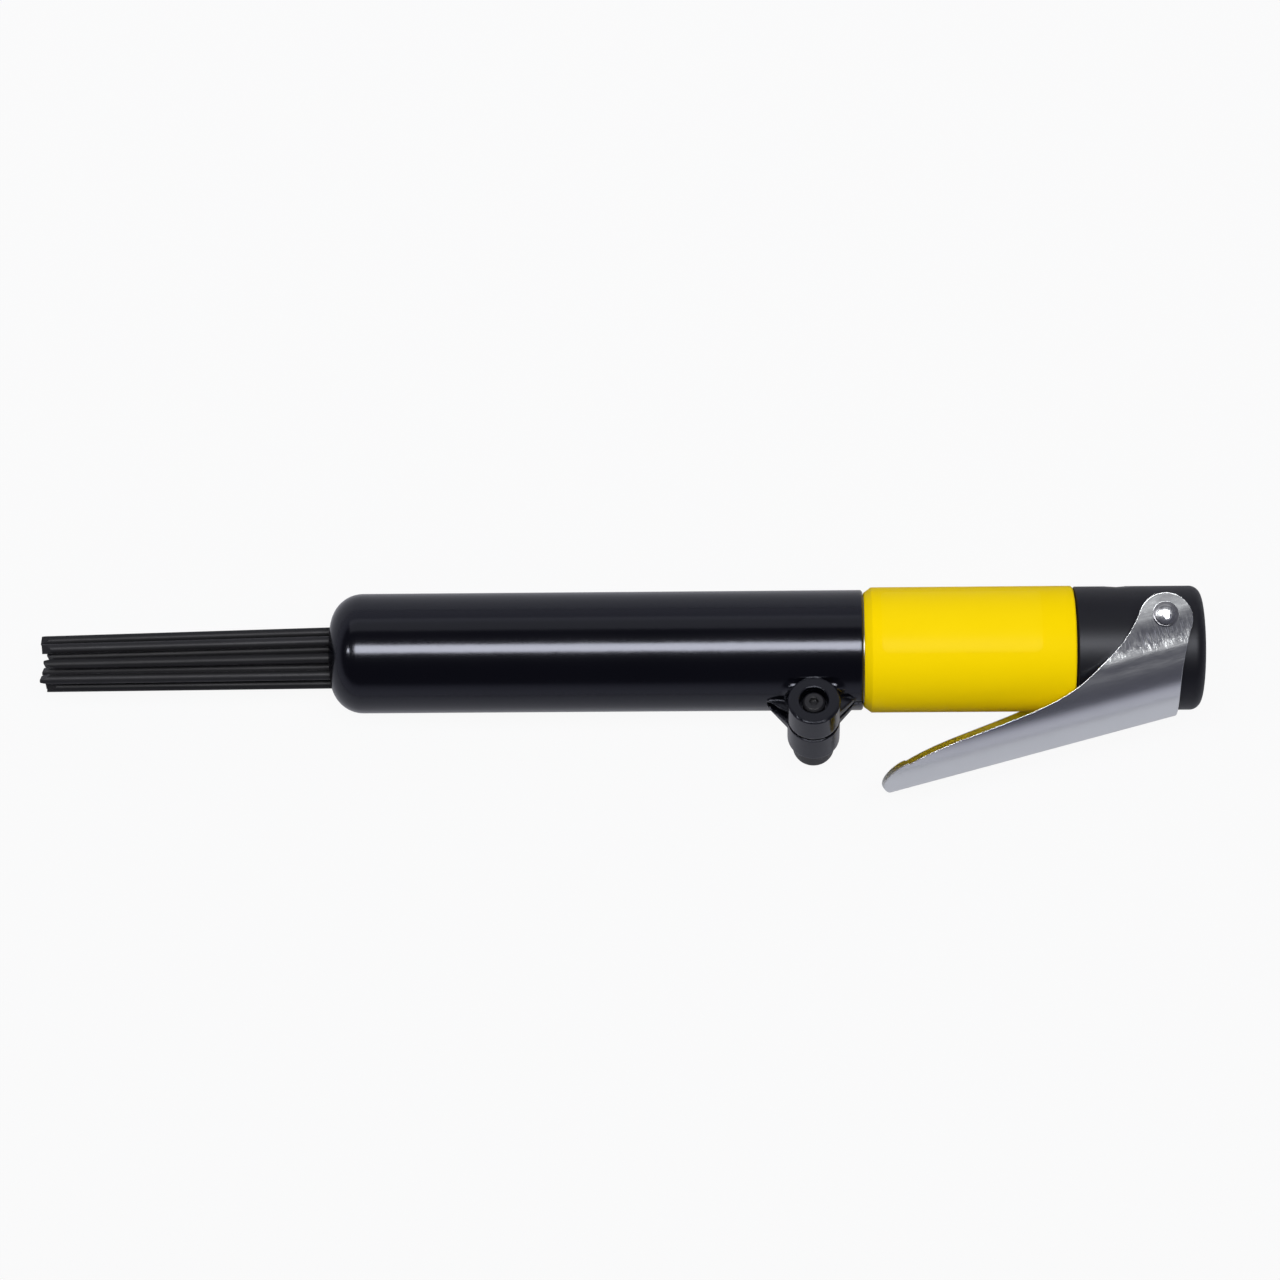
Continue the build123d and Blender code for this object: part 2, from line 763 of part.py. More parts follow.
def make_lever_pin():
    """The rivet: a shank and two domed heads with a thin collar."""
    shank = rod((pin_x, pin_height, -lever_outer_radius), (0, 0, 1), 2 * lever_outer_radius, pin_radius)
    dome_height = pin_head_height - pin_collar_height
    dome_radius = (pin_head_radius ** 2 + dome_height ** 2) / (2 * dome_height)
    for side in (-1, 1):
        face = make_face(
            Line((0, seat_gap), (pin_head_radius, seat_gap))
            + Line((pin_head_radius, seat_gap), (pin_head_radius, pin_collar_height))
            + RadiusArc((pin_head_radius, pin_collar_height), (0, pin_head_height), -dome_radius)
            + Line((0, pin_head_height), (0, seat_gap))
        )
        head = revolve(Plane.XZ * face, Axis.Z)
        place = Plane(origin=(pin_x, pin_height, side * lever_outer_radius), z_dir=(0, 0, side))
        core_start = (pin_x, pin_height, side * (lever_outer_radius - beyond))
        core = rod(core_start, (0, 0, side), beyond + seat_gap, pin_radius)
        shank += place * head + core
    return shank


def lever_inside(angle):
    """Height of the lever's inside at the throttle stem when it is open by an angle."""
    turn = math.radians(angle)
    run = throttle_x - pin_x
    depth = pin_height + lever_inner_radius
    along = (run - depth * math.sin(turn)) / math.cos(turn)
    return pin_height + along * math.sin(turn) - depth * math.cos(turn)


bush_bottom = -cap_radius + bush_recess
stem_tip = lever_inside(lever_rest_angle) + stem_gap
stem_travel = lever_inside(lever_rest_angle - lever_travel) - lever_inside(lever_rest_angle)

nodes = {
    "rear_cap": make_rear_cap(),
    "inlet_strainer": make_strainer(),
    "throttle_valve": make_throttle_valve(),
    "throttle_seal": make_throttle_seal(),
    "throttle_bush": make_throttle_bush(),
    "stem_seal": make_stem_seal(),
    "throttle_spring": make_throttle_spring(),
    "throttle_plug": make_throttle_plug(),
    "cap_seal": make_cap_seal(),
    "grip_sleeve": make_grip_sleeve(),
    "cylinder": make_cylinder(),
    "piston": make_piston(),
    "anvil": make_anvil(),
    "anvil_bush": make_anvil_bush(),
    "buffer_ring": make_buffer_ring(),
    "valve_cover": make_valve_cover(),
    "valve_plate": make_valve_plate(),
    "valve_seat": make_valve_seat(),
    "front_tube": make_front_tube(),
    "clamp_screw": make_clamp_screw(),
    "clamp_nut": make_clamp_nut(),
    "needle_holder": make_needle_holder(),
    "needle_spring": make_needle_spring(),
    "lever": make_lever(),
    "lever_pin": make_lever_pin(),
}
for number, line in enumerate(needle_lines(), start=1):
    nodes[f"needle_{number:02d}"] = make_needle(line, needle_tip_turn * number)

os.makedirs("parts", exist_ok=True)
for name, shape in nodes.items():
    export_step(shape, f"parts/{name}.step")

print("stem travel", round(stem_travel, 4))
for number, (hole, forward, back) in enumerate(needle_lines(), start=1):
    print("needle", number, [round(v, 6) for v in forward], "lies back", round(back, 3))
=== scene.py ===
import json
import math

import bmesh
import bpy
import numpy as np
from mathutils import Matrix, Vector


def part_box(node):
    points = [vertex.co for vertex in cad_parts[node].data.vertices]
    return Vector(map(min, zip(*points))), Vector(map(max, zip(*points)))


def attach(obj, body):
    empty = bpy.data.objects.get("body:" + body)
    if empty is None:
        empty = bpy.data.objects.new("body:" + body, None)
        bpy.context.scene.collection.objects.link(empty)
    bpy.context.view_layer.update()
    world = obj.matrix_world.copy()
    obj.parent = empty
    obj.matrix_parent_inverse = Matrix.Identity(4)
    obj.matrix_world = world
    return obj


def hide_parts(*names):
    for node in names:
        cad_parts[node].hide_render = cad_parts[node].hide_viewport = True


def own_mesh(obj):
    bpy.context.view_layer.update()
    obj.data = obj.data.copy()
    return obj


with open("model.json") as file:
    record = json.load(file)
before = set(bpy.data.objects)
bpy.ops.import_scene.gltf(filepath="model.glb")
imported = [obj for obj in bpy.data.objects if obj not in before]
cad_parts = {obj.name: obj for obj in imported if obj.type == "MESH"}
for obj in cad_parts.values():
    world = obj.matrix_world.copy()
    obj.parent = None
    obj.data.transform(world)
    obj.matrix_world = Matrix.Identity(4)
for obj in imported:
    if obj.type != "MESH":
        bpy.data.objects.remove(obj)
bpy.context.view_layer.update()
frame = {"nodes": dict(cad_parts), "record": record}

# The tool lies on its side: X runs along it, the lever hangs towards -Y and +Z faces the camera.
mm = 0.001
smooth_angle = math.radians(32)


class Value:
    """A socket of a finish, so that what it carries can be used in an expression."""

    def __init__(self, finish, socket):
        self.finish = finish
        self.socket = socket

    def __add__(self, other):
        return self.finish.sum("ADD", self, other)

    def __radd__(self, other):
        return self.finish.sum("ADD", other, self)

    def __sub__(self, other):
        return self.finish.sum("SUBTRACT", self, other)

    def __rsub__(self, other):
        return self.finish.sum("SUBTRACT", other, self)

    def __mul__(self, other):
        return self.finish.sum("MULTIPLY", self, other)

    def __rmul__(self, other):
        return self.finish.sum("MULTIPLY", other, self)

    def __truediv__(self, other):
        return self.finish.sum("DIVIDE", self, other)


class Finish:
    """One material: its nodes, and the shader that they feed."""

    def __init__(self, name, **uniform):
        self.material = bpy.data.materials.new(name)
        self.material.use_nodes = True
        self.tree = self.material.node_tree
        self.tree.nodes.clear()
        self.shader = self.tree.nodes.new("ShaderNodeBsdfPrincipled")
        self.output = self.tree.nodes.new("ShaderNodeOutputMaterial")
        self.tree.links.new(self.shader.outputs[0], self.output.inputs["Surface"])
        for socket, value in uniform.items():
            self.shader.inputs[socket.replace("_", " ")].default_value = value

    def node(self, kind, settings=None, sockets=None, output=0):
        """A node of a kind: its settings first, then the values or links of its sockets."""
        made = self.tree.nodes.new(kind)
        for name, value in (settings or {}).items():
            if name == "stops":
                self.set_stops(made.color_ramp, value)
            else:
                setattr(made, name, value)
        for name, value in (sockets or {}).items():
            self.feed(made.inputs[name], value)
        return Value(self, made.outputs[output])

    def set_stops(self, ramp, stops):
        """Gives a ramp its stops, pairs of a place and a colour."""
        while len(ramp.elements) < len(stops):
            ramp.elements.new(1.0)
        for element, (place, colour) in zip(ramp.elements, stops):
            element.position = place
            element.color = (*colour, 1.0)

    def feed(self, socket, value):
        """Links a value to a socket, or sets a plain one on it."""
        if isinstance(value, Value):
            self.tree.links.new(value.socket, socket)
        else:
            socket.default_value = value

    def sum(self, operation, first, second=0.0, third=0.0):
        return self.node("ShaderNodeMath", {"operation": operation}, {0: first, 1: second, 2: third})

    def clamp(self, value):
        return self.node("ShaderNodeClamp", {}, {"Value": value})

    def ramp(self, value, low, high):
        """0 below low, 1 above high and a smooth rise between them."""
        return self.node(
            "ShaderNodeMapRange",
            {"interpolation_type": "SMOOTHSTEP"},
            {"Value": value, "From Min": low, "From Max": high},
        )

    def place(self):
        """A point's place on its piece, in millimetres, as a vector."""
        found = self.node("ShaderNodeTexCoord", {}, {}, "Object")
        return self.stretch(found, (1000, 1000, 1000))

    def stretch(self, vector, factors):
        return self.node("ShaderNodeVectorMath", {"operation": "MULTIPLY"}, {0: vector, 1: factors})

    def parts(self, vector):
        """The three parts of a vector."""
        return [self.node("ShaderNodeSeparateXYZ", {}, {0: vector}, name) for name in "XYZ"]

    def noise(self, vector, scale, detail=2.0, roughness=0.5):
        """Noise from 0 to 1, with scale grains to the millimetre."""
        return self.node(
            "ShaderNodeTexNoise",
            {"noise_dimensions": "3D"},
            {"Vector": vector, "Scale": scale, "Detail": detail, "Roughness": roughness},
        )

    def blend(self, factor, first, second):
        """One colour fading to another."""
        return self.node(
            "ShaderNodeMix",
            {"data_type": "RGBA"},
            {"Factor": factor, 6: (*first, 1.0) if isinstance(first, tuple) else first,
             7: (*second, 1.0) if isinstance(second, tuple) else second},
            2,
        )

    def bump(self, height, depth, under=None):
        """A relief of a depth in millimetres, where the height goes from 0 to 1, over another normal."""
        sockets = {"Height": height, "Distance": depth * mm}
        if under is not None:
            sockets["Normal"] = under
        return self.node("ShaderNodeBump", {}, sockets, "Normal")

    def rounded(self, radius):
        """The normal of a piece whose edges are rounded by a radius in millimetres."""
        return self.node("ShaderNodeBevel", {"samples": 6}, {"Radius": radius * mm})

    def end(self, **links):
        """Feeds the shader's sockets and gives the finished material."""
        for socket, value in links.items():
            self.feed(self.shader.inputs[socket.replace("_", " ")], value)
        return self.material


class Room(Finish):
    """The world's nodes, made the same way as a finish."""

    def __init__(self, world):
        self.tree = world.node_tree
        self.tree.nodes.clear()
        self.background = self.tree.nodes.new("ShaderNodeBackground")
        output = self.tree.nodes.new("ShaderNodeOutputWorld")
        self.tree.links.new(self.background.outputs[0], output.inputs[0])


def gloss_black_paint():
    """Glossy black enamel with a faint orange peel."""
    paint = Finish("gloss_black_paint", Specular_IOR_Level=0.58, Specular_Tint=(0.83, 0.86, 1.0, 1.0))
    place = paint.place()
    peel = paint.noise(place, 0.22, 2.0)
    cloud = paint.noise(place, 0.02, 3.0)
    colour = paint.blend(cloud, (0.0008, 0.0008, 0.0018), (0.0016, 0.0016, 0.0030))
    return paint.end(Base_Color=colour, Roughness=0.13 + cloud * 0.05, Normal=paint.bump(peel, 0.02, paint.rounded(0.9)))


def satin_black():
    """Satin black coating with a fine tooth."""
    coating = Finish("satin_black", Specular_IOR_Level=0.42, Specular_Tint=(0.9, 0.92, 1.0, 1.0))
    place = coating.place()
    tooth = coating.noise(place, 3.0, 2.0)
    cloud = coating.noise(place, 0.06, 3.0)
    colour = coating.blend(cloud, (0.0015, 0.0015, 0.0032), (0.0035, 0.0035, 0.0058))
    return coating.end(Base_Color=colour, Roughness=0.4 + cloud * 0.1, Normal=coating.bump(tooth, 0.006, coating.rounded(0.4)))


def gloss_yellow():
    """Yellow enamel."""
    paint = Finish("gloss_yellow", Specular_IOR_Level=0.04, Specular_Tint=(1.0, 0.85, 0.3, 1.0))
    place = paint.place()
    peel = paint.noise(place, 0.3, 2.0)
    cloud = paint.noise(place, 0.03, 3.0)
    colour = paint.blend(cloud, (0.93, 0.66, 0.0005), (0.97, 0.695, 0.0015))
    return paint.end(Base_Color=colour, Roughness=0.42 + cloud * 0.12, Normal=paint.bump(peel, 0.015, paint.rounded(0.4)))


def clear_film():
    """A blank clear film on the yellow enamel, a little smoother than the paint."""
    film = Finish("clear_film", Specular_IOR_Level=0.07, Specular_Tint=(1.0, 0.9, 0.5, 1.0))
    place = film.place()
    ripple = film.noise(place, 0.12, 2.0)
    cloud = film.noise(place, 0.05, 3.0)
    colour = film.blend(cloud, (0.94, 0.672, 0.001), (0.97, 0.70, 0.003))
    return film.end(Base_Color=colour, Roughness=0.3 + cloud * 0.1, Normal=film.bump(ripple, 0.02))


lever_pin = Vector((-12.35, 9.8))
lever_slope = math.radians(14.83)
lever_bend = -9.8
ear_lean = 0.12
ear_step = 0.22
bend_step = 0.1
jag = 3.0


def brushed_steel():
    """Bare rolled sheet: grain along the lever, and the marks of the press where its ears turn into the trough."""
    steel = Finish("brushed_steel", Metallic=1.0)
    place = steel.place()
    across, up, through = steel.parts(place)
    along = (across - lever_pin.x) * math.cos(lever_slope) + (up - lever_pin.y) * math.sin(lever_slope)
    rise = (up - lever_pin.y) * math.cos(lever_slope) - (across - lever_pin.x) * math.sin(lever_slope)
    grain_place = steel.node("ShaderNodeCombineXYZ", {}, {0: along * 0.25, 1: rise * 4.0, 2: through * 4.0})
    grain = steel.noise(grain_place, 1.0, 3.0)
    cloud = steel.noise(place, 0.12, 3.0)
    press_place = steel.node("ShaderNodeCombineXYZ", {}, {0: along * 2.0, 1: rise * 0.1, 2: through * 0.1})
    press = steel.noise(press_place, 1.0, 2.0)
    wander = (steel.noise(steel.stretch(place, (0.16, 0.16, 0.16)), 1.0, 2.0) - 0.5) * 1.2
    from_bend = rise - lever_bend + wander
    lean = steel.ramp(from_bend, -4.5, -0.3) * (from_bend + 3.6) * ear_lean
    step = steel.ramp(from_bend, 3.5, 10.0) * ear_step
    jagged = from_bend + (press - 0.5) * jag
    pressed = (steel.ramp(jagged, 0.3, 3.3) - steel.ramp(from_bend, 4.5, 10.0)) * (press * 4.8 - 1.4) * bend_step
    relief = steel.bump(lean + step - pressed, 1.0, steel.rounded(0.25))
    colour = steel.blend(cloud * 0.5 + grain * 0.5, (0.86, 0.88, 0.89), (0.95, 0.97, 0.98))
    return steel.end(
        Base_Color=colour,
        Roughness=0.17 + grain * 0.1,
        Normal=steel.bump(grain, 0.002, relief),
    )


def polished_steel():
    """Bright steel: a rivet whose crown the punch has left flatter, dented and a little off level, with painted
    shade darkening the rim of its head.
    """
    steel = Finish("polished_steel", Metallic=1.0)
    place = steel.place()
    across, up, through = steel.parts(place)
    ahead = across - lever_pin.x
    above = up - lever_pin.y
    from_middle = ahead * ahead + above * above
    dents = steel.noise(place, 0.7, 2.0)
    behind = ahead - 0.4
    below = above + 0.6
    crown = 1.0 - steel.ramp(behind * behind + below * below + dents * 0.8, 0.7, 1.8)
    flattened = from_middle * 0.035 - above * 0.12 - ahead * 0.01
    lower_side = steel.ramp(0.0 - above - ahead * 0.5, 1.2, 3.4)
    lip = steel.ramp(from_middle, 9.5, 12.5) * lower_side * 0.16
    relief = crown * (flattened + dents * 0.1) + lip + dents * 0.05
    # Painted shade: the rim of the head is darkened where it meets the ear, which also dims the reflection there;
    # the same rim is made rougher away from its lower side.
    dull_and_shaded_rim = steel.ramp(from_middle, 6.0, 10.0)
    bright = steel.blend(dents, (0.74, 0.75, 0.78), (0.84, 0.85, 0.88))
    colour = steel.blend(dull_and_shaded_rim, bright, (0.30, 0.30, 0.32))
    roughness = 0.16 + dents * 0.12 + dull_and_shaded_rim * (1.0 - lower_side) * 0.16
    return steel.end(Base_Color=colour, Roughness=roughness, Normal=steel.bump(relief, 1.0))


def needle_steel(number):
    """Dark drawn wire, each needle a little lighter or darker."""
    wire = Finish(f"needle_steel_{number:02d}", Metallic=0.6, Specular_IOR_Level=0.4)
    place = wire.place()
    drawn = wire.noise(wire.stretch(place, (0.05, 3.0, 3.0)), 1.0, 3.0)
    cloud = wire.noise(place, 0.08, 3.0)
    tone = 0.013 + 0.012 * ((number * 5) % 12) / 11
    colour = wire.blend(cloud, (tone, tone, tone * 1.1), (tone * 1.5, tone * 1.5, tone * 1.65))
    return wire.end(Base_Color=colour, Roughness=0.38 + drawn * 0.2, Normal=wire.bump(drawn, 0.01))


def plain_metal(name, dark, light, roughness):
    """A turned metal that is hardly seen."""
    metal = Finish(name, Metallic=1.0)
    place = metal.place()
    turned = metal.noise(metal.stretch(place, (4.0, 0.4, 0.4)), 1.0, 2.0)
    return metal.end(
        Base_Color=metal.blend(turned, dark, light),
        Roughness=roughness + turned * 0.15,
        Normal=metal.bump(turned, 0.005),
    )


def rubber():
    """Matt black rubber."""
    skin = Finish("rubber")
    grain = skin.noise(skin.place(), 2.0, 3.0)
    colour = skin.blend(grain, (0.008, 0.008, 0.008), (0.014, 0.014, 0.014))
    return skin.end(Base_Color=colour, Roughness=0.75 + grain * 0.15, Normal=skin.bump(grain, 0.01))


def black_hardware():
    """Blackened steel."""
    steel = Finish("black_hardware", Specular_IOR_Level=0.5)
    place = steel.place()
    grain = steel.noise(place, 1.2, 3.0)
    colour = steel.blend(grain, (0.006, 0.006, 0.008), (0.012, 0.012, 0.015))
    return steel.end(Base_Color=colour, Roughness=0.3 + grain * 0.15, Normal=steel.bump(grain, 0.006, steel.rounded(0.4)))


finishes = {
    "gloss_black_paint": gloss_black_paint(),
    "satin_black": satin_black(),
    "gloss_yellow": gloss_yellow(),
    "brushed_steel": brushed_steel(),
    "polished_steel": polished_steel(),
    "black_hardware": black_hardware(),
    "machined_steel": plain_metal("machined_steel", (0.30, 0.30, 0.31), (0.42, 0.42, 0.43), 0.25),
    "spring_steel": plain_metal("spring_steel", (0.10, 0.10, 0.11), (0.16, 0.16, 0.17), 0.35),
    "bronze": plain_metal("bronze", (0.36, 0.20, 0.08), (0.48, 0.28, 0.12), 0.3),
    "rubber": rubber(),
}


def dress(piece, material):
    """Gives a piece one material and smooth shading up to its edges."""
    piece.data.materials.clear()
    piece.data.materials.append(material)
    piece.data.shade_smooth()
    piece.data.set_sharp_from_angle(angle=smooth_angle)


for part in frame["record"]["subparts"]:
    node = part["node"]
    slot = part["material_slot"]
    if slot == "needle_steel":
        dress(frame["nodes"][node], needle_steel(int(node[-2:])))
    else:
        dress(frame["nodes"][node], finishes[slot])



def add_piece(name, points, faces, material, body):
    """A piece of the scene's own, made of points in millimetres."""
    mesh = bpy.data.meshes.new(name)
    mesh.from_pydata([Vector(point) * mm for point in points], [], faces)
    mesh.update()
    piece = bpy.data.objects.new(name, mesh)
    bpy.context.scene.collection.objects.link(piece)
    turn_outward(mesh)
    dress(piece, material)
    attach(piece, body)
    return piece


def turn_outward(mesh):
    """Points every face of a closed mesh outward."""
    shape = bmesh.new()
    shape.from_mesh(mesh)
    bmesh.ops.recalc_face_normals(shape, faces=shape.faces)
    shape.to_mesh(mesh)
    shape.free()


film_front = -94.9
film_rear = -47.9
film_low = -3.0
film_high = 66.0
film_corner = 2.4
film_height = 0.07


def add_sleeve_film():
    """The blank film round the near side of the sleeve, its corners rounded and one edge a little lifted."""
    low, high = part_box("grip_sleeve")
    radius = (high.z - low.z) / 2 / mm
    arc = radius * math.radians(film_high - film_low)
    rows = 48
    columns = 40
    points = []
    for level in (0, 1):
        for row in range(rows + 1):
            up = arc * (0.5 - 0.5 * math.cos(math.pi * row / rows))
            angle = math.radians(film_low) + up / radius
            from_end = min(up, arc - up)
            inset = 0.0
            if from_end < film_corner:
                inset = film_corner - math.sqrt(film_corner ** 2 - (film_corner - from_end) ** 2)
            for column in range(columns + 1):
                share = 0.5 - 0.5 * math.cos(math.pi * column / columns)
                x = film_front + inset + (film_rear - film_front - 2 * inset) * share
                lift = 0.12 * math.exp(-((film_rear - x) / 0.35) ** 2 - ((up - 3.0) / 1.3) ** 2)
                out = radius - 0.02 + level * (film_height + 0.02) + lift
                points.append((x, out * math.sin(angle), out * math.cos(angle)))
    faces = []
    width = columns + 1
    size = width * (rows + 1)
    for row in range(rows):
        for column in range(columns):
            corner = row * width + column
            quad = (corner, corner + 1, corner + width + 1, corner + width)
            faces.append(quad)
            faces.append(tuple(point + size for point in reversed(quad)))
    rim = [column for column in range(columns)]
    rim += [row * width + columns for row in range(rows)]
    rim += [rows * width + columns - column for column in range(columns)]
    rim += [(rows - row) * width for row in range(rows)]
    for first, second in zip(rim, rim[1:] + rim[:1]):
        faces.append((first, second, second + size, first + size))
    return add_piece("sleeve_film", points, faces, clear_film(), "handle")


thread_pitch = 1.337
thread_crest = 0.26


def add_inlet_thread():
    """The pipe thread in the inlet: one ridge wound along the bore."""
    low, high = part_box("inlet_strainer")
    bottom = high.x / mm + 1.2
    bore = inlet_bore
    turns = (-0.9 - bottom) / thread_pitch
    steps = int(turns * 48)
    profile = ((-0.52, 0.03), (-0.12, -thread_crest), (0.12, -thread_crest), (0.52, 0.03))
    points = []
    for step in range(steps + 1):
        share = step / steps
        angle = 2 * math.pi * turns * share
        fade = min(1.0, step / 24, (steps - step) / 24)
        for ahead, out in profile:
            radius = bore + (out if out > 0 else out * fade)
            points.append((bottom + thread_pitch * turns * share + ahead, radius * math.cos(angle), radius * math.sin(angle)))
    count = len(profile)
    faces = [tuple(range(count)), tuple(range(steps * count, (steps + 1) * count))]
    for step in range(steps):
        for part in range(count):
            first = step * count + part
            second = step * count + (part + 1) % count
            faces.append((first, second, second + count, first + count))
    return add_piece("inlet_thread", points, faces, finishes["satin_black"], "handle")


nut_profile = (
    (5.6, 0.0), (5.6, 2.05), (0.02, 2.05), (0.02, 5.95), (0.25, 6.15), (6.75, 6.15), (6.8, 6.1), (7.5, 5.9),
    (8.1, 5.45), (8.45, 4.9), (8.6, 4.2), (8.6, 2.3), (8.3, 2.0), (8.3, 0.0),
)


def add_domed_nut():
    """The clamp's round nut, its far end domed and dimpled."""
    tilt = math.radians(30)
    outward = Vector((0.0, -math.cos(tilt), math.sin(tilt)))
    away = Vector((0.0, -math.sin(tilt), -math.cos(tilt)))
    across = Vector((1.0, 0.0, 0.0))
    seat = across * clamp_x + outward * clamp_reach + away * far_lug_length
    sides = 64
    rings = nut_profile[1:-1]
    points = [seat + away * nut_profile[0][0], seat + away * nut_profile[-1][0]]
    for depth, radius in rings:
        for side in range(sides):
            angle = 2 * math.pi * side / sides
            points.append(seat + away * depth + (across * math.cos(angle) + outward * math.sin(angle)) * radius)
    faces = []
    for side in range(sides):
        after = (side + 1) % sides
        last = 2 + (len(rings) - 1) * sides
        faces.append((0, 2 + after, 2 + side))
        faces.append((1, last + side, last + after))
        for ring in range(len(rings) - 1):
            first = 2 + ring * sides
            faces.append((first + side, first + after, first + sides + after, first + sides + side))
    nut = add_piece("domed_nut", points, faces, finishes["black_hardware"], "front_housing")
    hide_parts("clamp_nut")
    return nut


def add_coil(name, node, lengthwise, wire, turns, body, fixed_high):
    """A spring of round wire with closed ends, in the place of a node."""
    low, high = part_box(node)
    low = low / mm
    high = high / mm
    middle = (low + high) / 2
    length = high[lengthwise] - low[lengthwise]
    around = [axis for axis in (0, 1, 2) if axis != lengthwise]
    coil_radius = (high[around[0]] - low[around[0]]) / 2 - wire / 2
    free_pitch = (length - 3 * wire) / (turns - 2)
    steps = turns * 32
    sides = 10
    points = []
    for step in range(steps + 1):
        turn = turns * step / steps
        rise = wire * min(turn, 1) + free_pitch * min(max(turn - 1, 0), turns - 2) + wire * max(turn - turns + 1, 0)
        angle = 2 * math.pi * turn
        for side in range(sides):
            bend = 2 * math.pi * side / sides
            out = coil_radius + wire / 2 * math.cos(bend)
            point = [0.0, 0.0, 0.0]
            point[lengthwise] = low[lengthwise] + wire / 2 + rise + wire / 2 * math.sin(bend)
            point[around[0]] = middle[around[0]] + out * math.cos(angle)
            point[around[1]] = middle[around[1]] + out * math.sin(angle)
            points.append(point)
    faces = [tuple(range(sides)), tuple(range(steps * sides, (steps + 1) * sides))]
    for step in range(steps):
        for side in range(sides):
            first = step * sides + side
            second = step * sides + (side + 1) % sides
            faces.append((first, second, second + sides, first + sides))
    coil = add_piece(name, points, faces, finishes["spring_steel"], body)
    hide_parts(node)
    anchor = middle * mm
    anchor[lengthwise] = (high if fixed_high else low)[lengthwise] * mm
    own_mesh(coil)
    return coil


inlet_bore = 5.72
clamp_x = -115.1
clamp_reach = 22.9
far_lug_length = 11.8
add_sleeve_film()
add_inlet_thread()
add_domed_nut()
add_coil("needle_coil", "needle_spring", 0, 2.8, 9, "front_housing", False)
add_coil("throttle_coil", "throttle_spring", 1, 0.7, 6, "handle", True)

# Camera, at the photograph's viewing angle
camera_distance = 0.975
frame_width = 0.3844
frame_centre = Vector((-0.1669, 0.0035, 0.0))
camera_lean = math.radians(2.4)
camera_roll = math.radians(0.42)
camera_tip = math.radians(-0.2)


def add_camera():
    """The camera above the tool, leaning a little towards its rear end."""
    ahead = math.cos(camera_tip)
    back = Vector((math.sin(camera_lean) * ahead, math.sin(camera_tip), math.cos(camera_lean) * ahead))
    level_right = Vector((math.cos(camera_lean), 0.0, -math.sin(camera_lean)))
    level_up = back.cross(level_right)
    right = level_right * math.cos(camera_roll) - level_up * math.sin(camera_roll)
    up = level_up * math.cos(camera_roll) + level_right * math.sin(camera_roll)
    data = bpy.data.cameras.new("camera")
    data.sensor_width = 36.0
    data.lens = data.sensor_width * camera_distance / frame_width
    camera = bpy.data.objects.new("camera", data)
    bpy.context.scene.collection.objects.link(camera)
    turn = Matrix((right, up, back)).transposed().to_4x4()
    camera.matrix_world = Matrix.Translation(frame_centre + back * camera_distance) @ turn
    bpy.context.scene.camera = camera


camera_share = 0.93
mirror_share = 0.12


def add_floor():
    """The pale floor, tilted so that the front tube and the far rivet head both rest on it."""
    tube_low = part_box("front_tube")[0]
    head_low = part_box("lever_pin")[0]
    nose_x = tube_low.x + 0.012
    head_x = head_low.x
    tube_bottom = -0.018
    slope = (head_low.z - tube_bottom) / (head_x - nose_x)
    half = 2.5
    mesh = bpy.data.meshes.new("floor")
    corners = [(-half, -half), (half, -half), (half, half), (-half, half)]
    mesh.from_pydata([(x, y, tube_bottom + slope * (x - nose_x)) for x, y in corners], [], [(0, 1, 2, 3)])
    floor = bpy.data.objects.new("floor", mesh)
    bpy.context.scene.collection.objects.link(floor)
    pale = Finish("floor", Roughness=0.9, Specular_IOR_Level=0.1)
    cloud = pale.noise(pale.place(), 0.004, 2.0)
    pale.end(Base_Color=pale.blend(cloud, (0.40, 0.405, 0.45), (0.43, 0.435, 0.48)))
    white = pale.node("ShaderNodeEmission", {}, {"Color": (1.0, 1.0, 1.0, 1.0), "Strength": 1.0})
    rays = [pale.node("ShaderNodeLightPath", {}, {}, name) for name in ("Is Camera Ray", "Is Glossy Ray", "Is Transmission Ray")]
    seen = pale.clamp(rays[0] * camera_share + (rays[1] + rays[2]) * mirror_share)
    lit = Value(pale, pale.shader.outputs[0])
    mixed = pale.node("ShaderNodeMixShader", {}, {0: seen, 1: lit, 2: white})
    pale.feed(pale.output.inputs["Surface"], mixed)
    mesh.materials.append(pale.material)


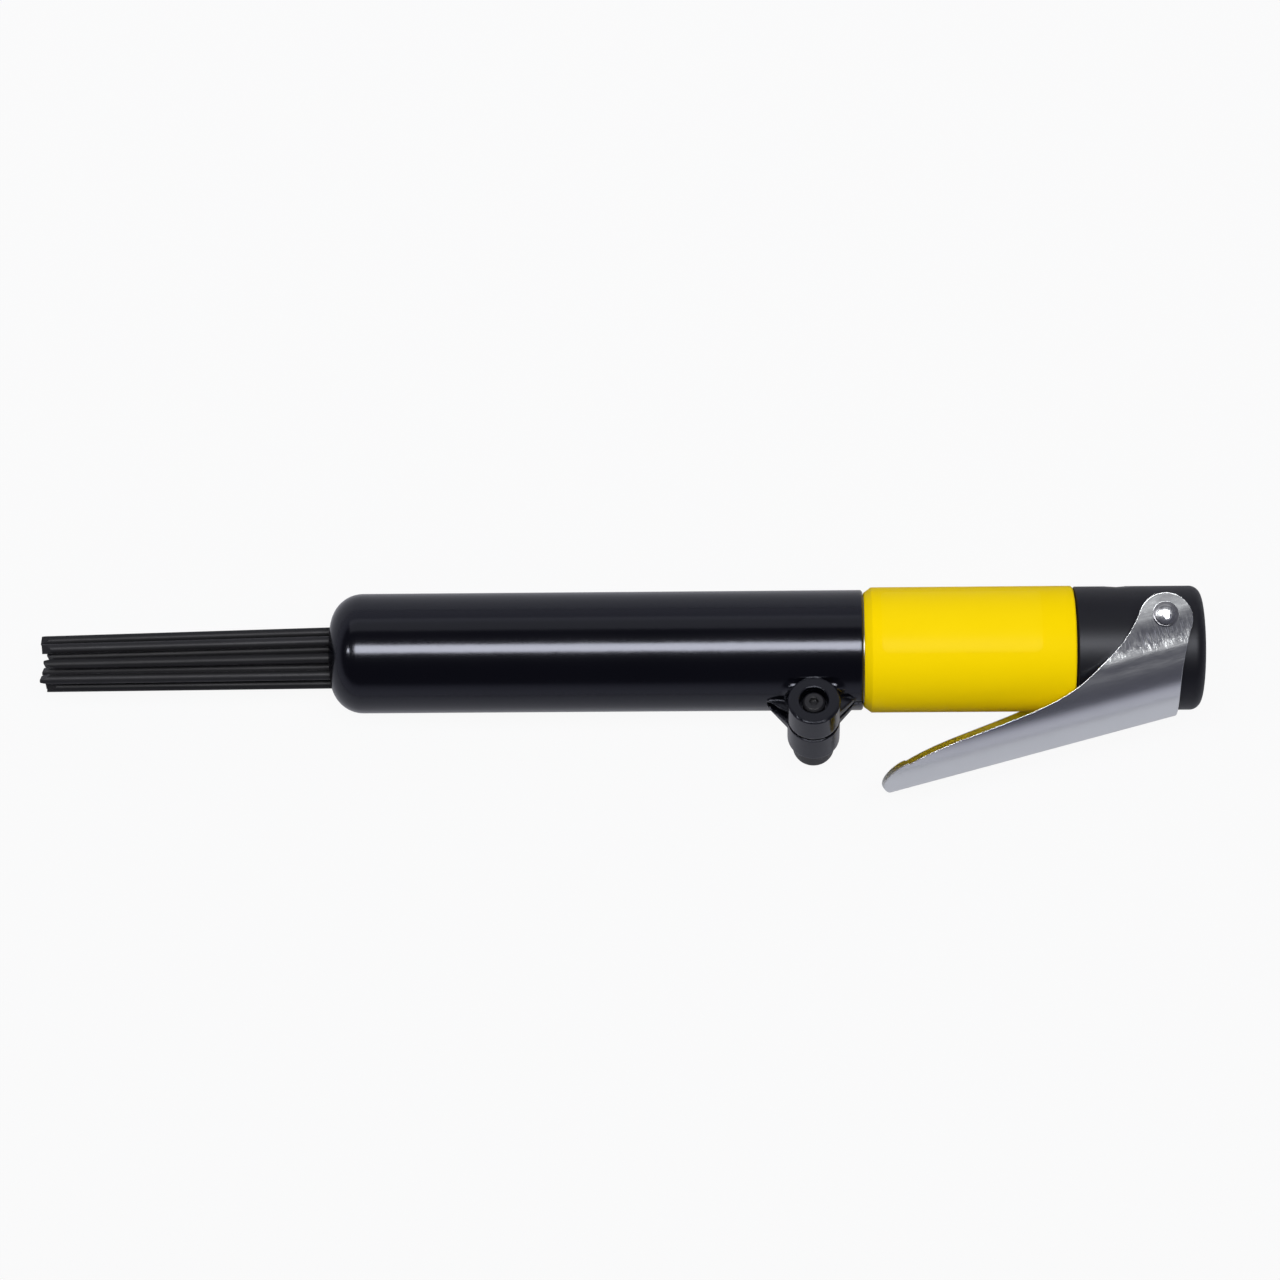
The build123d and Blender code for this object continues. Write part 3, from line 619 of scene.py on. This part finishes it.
def add_softbox(name, centre, aim, size, radiance):
    """A rectangular lamp whose face shows an even radiance."""
    data = bpy.data.lights.new(name, "AREA")
    data.shape = "RECTANGLE"
    data.size = size[0]
    data.size_y = size[1]
    data.energy = radiance * math.pi * size[0] * size[1]
    lamp = bpy.data.objects.new(name, data)
    bpy.context.scene.collection.objects.link(lamp)
    back = (Vector(centre) - Vector(aim)).normalized()
    along = Vector((1.0, 0.0, 0.0))
    along = (along - back * along.dot(back)).normalized()
    lamp.matrix_world = Matrix.Translation(centre) @ Matrix((along, back.cross(along), back)).transposed().to_4x4()
    lamp.visible_camera = False


def add_light():
    """A long strip above the tool, brighter towards its rear, two side lights and a dim room with a pale horizon."""
    strip_tilt = math.radians(8.4)
    strip_height = 1.2
    strip_width = 0.31
    middle = strip_height * math.tan(strip_tilt)
    for front, rear, radiance in ((-0.6, 0.4, 12.5), (-0.16, 0.4, 1.6), (-0.11, 0.4, 1.8), (-0.06, 0.4, 1.6)):
        centre = Vector(((front + rear) / 2, middle, strip_height))
        add_softbox("strip", centre, (centre.x, 0.0, 0.0), (rear - front, strip_width), radiance)
    add_softbox("far_side", (-0.17, 1.06, 0.69), (-0.17, 0.0, 0.0), (1.6, 0.58), 0.42)
    add_softbox("needle_end", (-1.0, 0.117, 1.06), (-0.25, 0.0, 0.0), (0.15, 0.16), 20.0)
    world = bpy.data.worlds.new("room")
    bpy.context.scene.world = world
    world.use_nodes = True
    room = Room(world)
    height = room.parts(room.node("ShaderNodeTexCoord", {}, {}, "Generated"))[2]
    stops = [
        (0.0, (0.40, 0.40, 0.46)),
        (0.16, (0.395, 0.395, 0.45)),
        (0.28, (0.355, 0.355, 0.41)),
        (0.38, (0.26, 0.26, 0.31)),
        (0.49, (0.062, 0.062, 0.08)),
        (1.0, (0.05, 0.05, 0.065)),
    ]
    sky = room.node("ShaderNodeValToRGB", {"stops": stops}, {"Fac": height})
    room.feed(room.background.inputs["Color"], sky)


add_camera()
add_floor()
add_light()
bpy.context.scene.view_settings.view_transform = "Standard"
